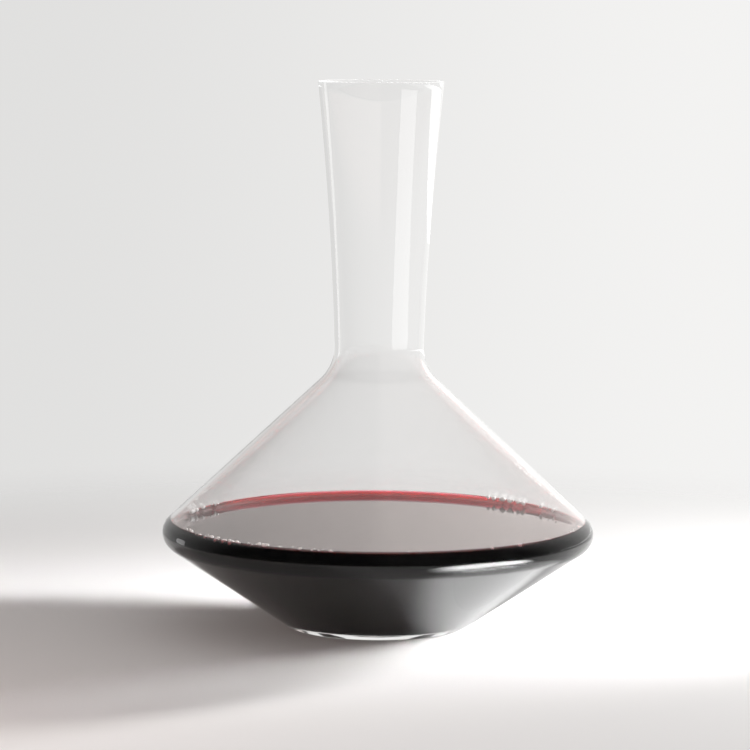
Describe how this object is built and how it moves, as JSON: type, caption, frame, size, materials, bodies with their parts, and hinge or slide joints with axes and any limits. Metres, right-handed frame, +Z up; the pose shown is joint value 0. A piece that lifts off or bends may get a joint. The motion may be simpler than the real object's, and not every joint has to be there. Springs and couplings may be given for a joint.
{
  "type": "wine decanter",
  "caption": "Clear glass wine decanter with a low wide bowl, a sloping shoulder and a slender flaring neck, holding red wine up to just above its widest line.",
  "frame": {"origin": "centre of the foot, on the surface that the vessel stands on", "axes": "+Z up along the axis of revolution, towards the mouth; the vessel is the same from every side, so +X and +Y are free"},
  "size_m": [0.206, 0.206, 0.26],
  "materials": {
    "clear_glass": "polished",
    "red_wine": "gloss"
  },
  "bodies": {
    "decanter": {"glass_vessel": "clear_glass"},
    "wine": {"red_wine": "red_wine"}
  },
  "joints": [
    {"name": "wine_swirl", "type": "hinge", "parent": "decanter", "child": "wine", "pos_m": [0, 0, 0.02], "axis": [0, 0, 1], "continuous": true}
  ]
}
